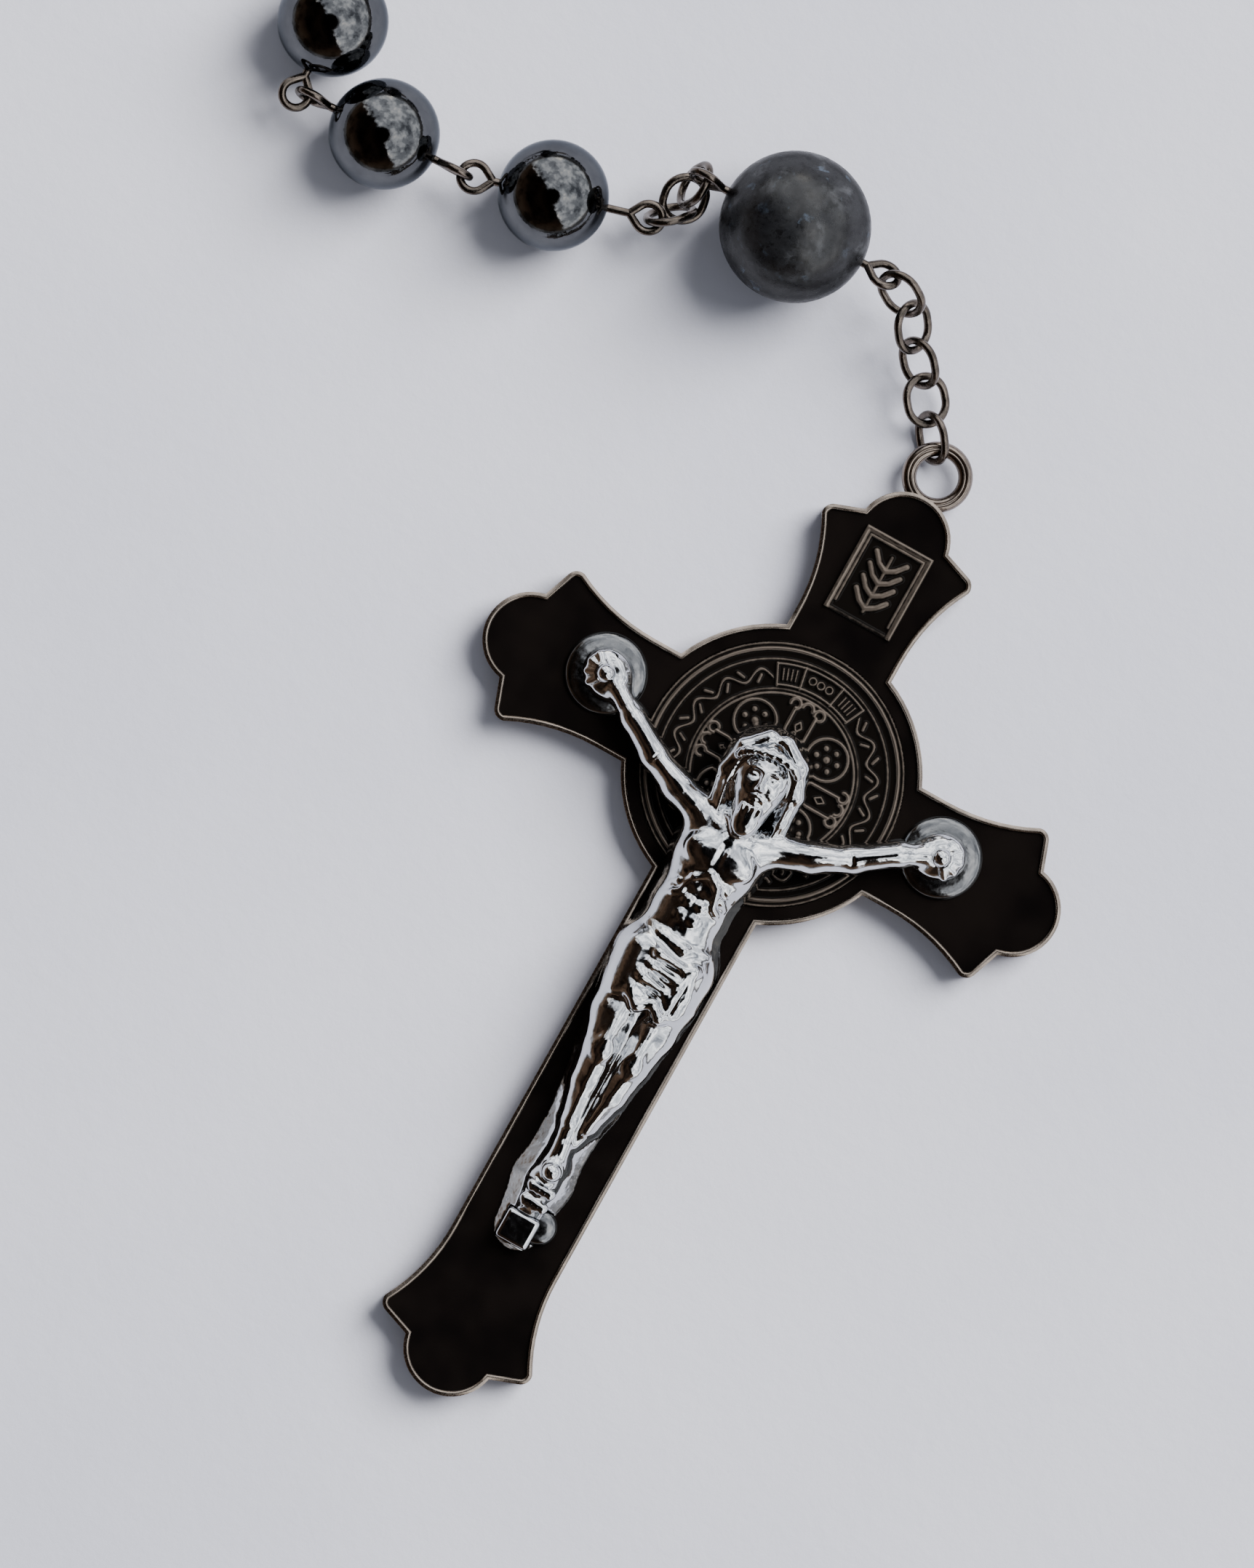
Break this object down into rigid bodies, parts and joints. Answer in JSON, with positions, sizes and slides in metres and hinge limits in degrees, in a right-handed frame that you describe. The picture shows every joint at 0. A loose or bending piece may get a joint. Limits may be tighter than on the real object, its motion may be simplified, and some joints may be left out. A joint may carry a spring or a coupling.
{
  "type": "rosary",
  "caption": "Rosary of dark stone beads on a jointed wire chain, with an enamelled crucifix and an oval centrepiece.",
  "frame": {"origin": "on the crucifix's flat back, under the middle of its round medal", "axes": "+Y runs up the crucifix from its foot to its hanging ring, +X runs along its arms to the right seen from the front, +Z points out of its front face, away from the surface the rosary lies on"},
  "size_m": [0.1711, 0.3357, 0.0081],
  "materials": {
    "dark_plate": "polished gunmetal plating",
    "bright_plate": "polished",
    "black_enamel": "glossy",
    "wire": "drawn wire, gunmetal",
    "black_stone": "polished",
    "grey_stone": "satin polish"
  },
  "bodies": {
    "crucifix": {"cross_body": "dark_plate", "front_enamel": "black_enamel", "back_enamel": "black_enamel", "medal": "dark_plate", "titulus_plate": "dark_plate", "corpus": "bright_plate", "corpus_bosses": "bright_plate", "corpus_rivets": "bright_plate", "foot_rest": "bright_plate"},
    "chain_link_1": {"chain_link_1": "wire"},
    "chain_link_2": {"chain_link_2": "wire"},
    "chain_link_3": {"chain_link_3": "wire"},
    "chain_link_4": {"chain_link_4": "wire"},
    "chain_link_5": {"chain_link_5": "wire"},
    "large_pin_1": {"large_pin_1": "wire"},
    "large_bead_1": {"large_bead_1": "grey_stone"},
    "chain_link_6": {"chain_link_6": "wire"},
    "chain_link_7": {"chain_link_7": "wire"},
    "chain_link_8": {"chain_link_8": "wire"},
    "small_pin_1": {"small_pin_1": "wire"},
    "small_bead_1": {"small_bead_1": "black_stone"},
    "small_pin_2": {"small_pin_2": "wire"},
    "small_bead_2": {"small_bead_2": "black_stone"},
    "small_pin_3": {"small_pin_3": "wire"},
    "small_bead_3": {"small_bead_3": "black_stone"},
    "chain_link_9": {"chain_link_9": "wire"},
    "chain_link_10": {"chain_link_10": "wire"},
    "chain_link_11": {"chain_link_11": "wire"},
    "large_pin_2": {"large_pin_2": "wire"},
    "large_bead_2": {"large_bead_2": "grey_stone"},
    "chain_link_12": {"chain_link_12": "wire"},
    "chain_link_13": {"chain_link_13": "wire"},
    "chain_link_14": {"chain_link_14": "wire"},
    "centrepiece": {"centrepiece": "dark_plate", "centrepiece_enamel": "black_enamel"},
    "decade_1a": {"decade_1a_wires": "wire", "decade_1a_beads": "black_stone"},
    "decade_1b": {"decade_1b_wires": "wire", "decade_1b_beads": "black_stone", "decade_1b_large_bead": "grey_stone"},
    "decade_2a": {"decade_2a_wires": "wire", "decade_2a_beads": "black_stone"},
    "decade_2b": {"decade_2b_wires": "wire", "decade_2b_beads": "black_stone", "decade_2b_large_bead": "grey_stone"},
    "decade_3a": {"decade_3a_wires": "wire", "decade_3a_beads": "black_stone"},
    "decade_5b": {"decade_5b_wires": "wire", "decade_5b_beads": "black_stone"},
    "decade_5a": {"decade_5a_wires": "wire", "decade_5a_beads": "black_stone", "decade_5a_large_bead": "grey_stone"},
    "decade_4b": {"decade_4b_wires": "wire", "decade_4b_beads": "black_stone"},
    "decade_4a": {"decade_4a_wires": "wire", "decade_4a_beads": "black_stone", "decade_4a_large_bead": "grey_stone"},
    "decade_3b": {"decade_3b_wires": "wire", "decade_3b_beads": "black_stone"}
  },
  "joints": [
    {"name": "link_1_turn", "type": "hinge", "parent": "crucifix", "child": "chain_link_1", "pos_m": [-0.00038, 0.0188, 0.0011], "axis": [0, 0, 1], "range_deg": [-60, 5]},
    {"name": "link_2_turn", "type": "hinge", "parent": "chain_link_1", "child": "chain_link_2", "pos_m": [-0.00186, 0.02078, 0.00143], "axis": [0, 0, 1], "range_deg": [-20, 15]},
    {"name": "link_3_turn", "type": "hinge", "parent": "chain_link_2", "child": "chain_link_3", "pos_m": [-0.00322, 0.0224, 0.00175], "axis": [0, 0, -1], "range_deg": [-10, 15]},
    {"name": "link_4_turn", "type": "hinge", "parent": "chain_link_3", "child": "chain_link_4", "pos_m": [-0.0045, 0.02385, 0.00245], "axis": [0, 0, 1], "range_deg": [-15, 25]},
    {"name": "link_5_turn", "type": "hinge", "parent": "chain_link_4", "child": "chain_link_5", "pos_m": [-0.00559, 0.02527, 0.00325], "axis": [0, 0, -1], "range_deg": [0, 40]},
    {"name": "large_pin_1_turn", "type": "hinge", "parent": "chain_link_5", "child": "large_pin_1", "pos_m": [-0.00725, 0.02623, 0.00408], "axis": [0, 0, 1], "range_deg": [-30, 10]},
    {"name": "link_6_turn", "type": "hinge", "parent": "large_pin_1", "child": "chain_link_6", "pos_m": [-0.01856, 0.02603, 0.00407], "axis": [0, 0, -1], "range_deg": [-15, 40]},
    {"name": "link_7_turn", "type": "hinge", "parent": "chain_link_6", "child": "chain_link_7", "pos_m": [-0.01922, 0.02522, 0.00261], "axis": [0, 0, 1], "range_deg": [-10, 20]},
    {"name": "link_8_turn", "type": "hinge", "parent": "chain_link_7", "child": "chain_link_8", "pos_m": [-0.0191, 0.02449, 0.00226], "axis": [0, 0, -1], "range_deg": [-25, 30]},
    {"name": "small_pin_1_turn", "type": "hinge", "parent": "chain_link_8", "child": "small_pin_1", "pos_m": [-0.01981, 0.02295, 0.00301], "axis": [0, 0, 1], "range_deg": [-5, 45]},
    {"name": "small_pin_2_turn", "type": "hinge", "parent": "small_pin_1", "child": "small_pin_2", "pos_m": [-0.02999, 0.02003, 0.003], "axis": [0, 0, -1], "range_deg": [-35, 0]},
    {"name": "small_pin_3_turn", "type": "hinge", "parent": "small_pin_2", "child": "small_pin_3", "pos_m": [-0.04002, 0.01963, 0.003], "axis": [0, 0, 1], "range_deg": [0, 80]},
    {"name": "link_9_turn", "type": "hinge", "parent": "small_pin_3", "child": "chain_link_9", "pos_m": [-0.04033, 0.02861, 0.003], "axis": [0, 0, 1], "range_deg": [-20, 10]},
    {"name": "link_10_turn", "type": "hinge", "parent": "chain_link_9", "child": "chain_link_10", "pos_m": [-0.04055, 0.03066, 0.00332], "axis": [0, 0, -1], "range_deg": [-20, 10]},
    {"name": "link_11_turn", "type": "hinge", "parent": "chain_link_10", "child": "chain_link_11", "pos_m": [-0.04062, 0.03272, 0.00364], "axis": [0, 0, 1], "range_deg": [-10, 20]},
    {"name": "large_pin_2_turn", "type": "hinge", "parent": "chain_link_11", "child": "large_pin_2", "pos_m": [-0.04048, 0.03476, 0.00407], "axis": [0, 0, -1], "range_deg": [-10, 15]},
    {"name": "link_12_turn", "type": "hinge", "parent": "large_pin_2", "child": "chain_link_12", "pos_m": [-0.04006, 0.04661, 0.00407], "axis": [0, 0, 1], "range_deg": [-8, 8]},
    {"name": "link_13_turn", "type": "hinge", "parent": "chain_link_12", "child": "chain_link_13", "pos_m": [-0.03999, 0.04857, 0.00336], "axis": [0, 0, -1], "range_deg": [-10, 15]},
    {"name": "link_14_turn", "type": "hinge", "parent": "chain_link_13", "child": "chain_link_14", "pos_m": [-0.04002, 0.05029, 0.00217], "axis": [0, 0, 1], "range_deg": [-20, 20]},
    {"name": "centrepiece_turn", "type": "hinge", "parent": "chain_link_14", "child": "centrepiece", "pos_m": [-0.04002, 0.05308, 0.0011], "axis": [0, 0, -1], "range_deg": [-60, 60]},
    {"name": "decade_1a_turn", "type": "hinge", "parent": "centrepiece", "child": "decade_1a", "pos_m": [-0.03545, 0.06886, 0.0011], "axis": [0, 0, 1], "range_deg": [-30, 0]},
    {"name": "decade_1b_turn", "type": "hinge", "parent": "decade_1a", "child": "decade_1b", "pos_m": [0.00387, 0.10801, 0.003], "axis": [0, 0, 1], "range_deg": [-15, 0]},
    {"name": "decade_2a_turn", "type": "hinge", "parent": "decade_1b", "child": "decade_2a", "pos_m": [0.03849, 0.17128, 0.003], "axis": [0, 0, 1], "range_deg": [-15, 0]},
    {"name": "decade_2b_turn", "type": "hinge", "parent": "decade_2a", "child": "decade_2b", "pos_m": [0.04132, 0.21936, 0.003], "axis": [0, 0, 1], "range_deg": [-15, 0]},
    {"name": "decade_3a_turn", "type": "hinge", "parent": "decade_2b", "child": "decade_3a", "pos_m": [0.00515, 0.2803, 0.003], "axis": [0, 0, 1], "range_deg": [-15, 0]},
    {"name": "decade_5b_turn", "type": "hinge", "parent": "centrepiece", "child": "decade_5b", "pos_m": [-0.0446, 0.06886, 0.0011], "axis": [0, 0, 1], "range_deg": [0, 30]},
    {"name": "decade_5a_turn", "type": "hinge", "parent": "decade_5b", "child": "decade_5a", "pos_m": [-0.08392, 0.10801, 0.003], "axis": [0, 0, 1], "range_deg": [0, 15]},
    {"name": "decade_4b_turn", "type": "hinge", "parent": "decade_5a", "child": "decade_4b", "pos_m": [-0.11854, 0.17128, 0.003], "axis": [0, 0, 1], "range_deg": [0, 15]},
    {"name": "decade_4a_turn", "type": "hinge", "parent": "decade_4b", "child": "decade_4a", "pos_m": [-0.12137, 0.21936, 0.003], "axis": [0, 0, 1], "range_deg": [0, 15]},
    {"name": "decade_3b_turn", "type": "hinge", "parent": "decade_4a", "child": "decade_3b", "pos_m": [-0.0852, 0.2803, 0.003], "axis": [0, 0, 1], "range_deg": [0, 15]},
    {"name": "large_bead_1_spin", "type": "hinge", "parent": "large_pin_1", "child": "large_bead_1", "pos_m": [-0.01318, 0.02613, 0.00407], "axis": [-0.9998, -0.0175, 0], "continuous": true},
    {"name": "small_bead_1_spin", "type": "hinge", "parent": "small_pin_1", "child": "small_bead_1", "pos_m": [-0.02532, 0.02137, 0.003], "axis": [-0.9613, -0.2756, 0], "continuous": true},
    {"name": "small_bead_2_spin", "type": "hinge", "parent": "small_pin_2", "child": "small_bead_2", "pos_m": [-0.03483, 0.01984, 0.003], "axis": [-0.9992, -0.0401, 0], "continuous": true},
    {"name": "small_bead_3_spin", "type": "hinge", "parent": "small_pin_3", "child": "small_bead_3", "pos_m": [-0.04016, 0.02376, 0.003], "axis": [-0.0349, 0.9994, 0], "continuous": true},
    {"name": "large_bead_2_spin", "type": "hinge", "parent": "large_pin_2", "child": "large_bead_2", "pos_m": [-0.04027, 0.04069, 0.00407], "axis": [0.0349, 0.9994, 0], "continuous": true}
  ]
}
